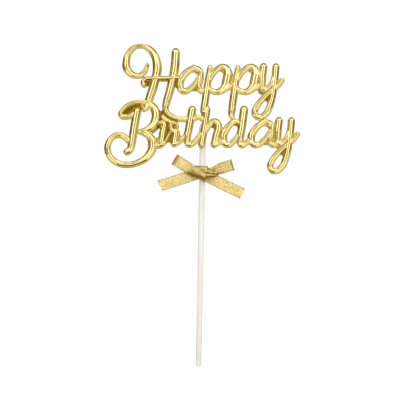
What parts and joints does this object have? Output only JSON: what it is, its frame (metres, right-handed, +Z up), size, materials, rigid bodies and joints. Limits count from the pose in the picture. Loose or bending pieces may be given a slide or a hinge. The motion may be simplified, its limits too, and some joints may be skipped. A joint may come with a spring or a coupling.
{
  "type": "cake topper",
  "caption": "Cake topper: gold moulded script lettering in two lines, glued to a slim round stick, with a gold ribbon bow that slides and turns on the stick.",
  "frame": {"origin": "on the stick's axis, level with the top of the cake, at the upper end of the length of stick that goes into the cake", "axes": "+Z up along the stick, the lettering's front faces -Y, +X to the reader's right"},
  "size_m": [0.1222, 0.0093, 0.201],
  "materials": {
    "gold_plating": "moulded plastic with a bright gold vacuum-plated skin",
    "stick_plastic": "cream white, smooth, slightly matt",
    "hot_glue": "hot-melt glue, milky and waxy",
    "gold_ribbon": "woven metallic gold ribbon with a fine glittering grain"
  },
  "bodies": {
    "topper": {"lettering": "gold_plating", "stick": "stick_plastic", "glue_dab": "hot_glue"},
    "band": {"bow_band": "gold_ribbon"},
    "bow": {"bow_knot": "gold_ribbon", "bow_left_loop": "gold_ribbon", "bow_right_loop": "gold_ribbon", "bow_left_tail": "gold_ribbon", "bow_right_tail": "gold_ribbon"}
  },
  "joints": [
    {"name": "bow_slide", "type": "slide", "parent": "topper", "child": "band", "axis": [0, 0, 1], "range_m": [-0.04, 0.002]},
    {"name": "bow_turn", "type": "hinge", "parent": "band", "child": "bow", "pos_m": [0, 0, 0.06], "axis": [0, 0, 1], "continuous": true}
  ]
}
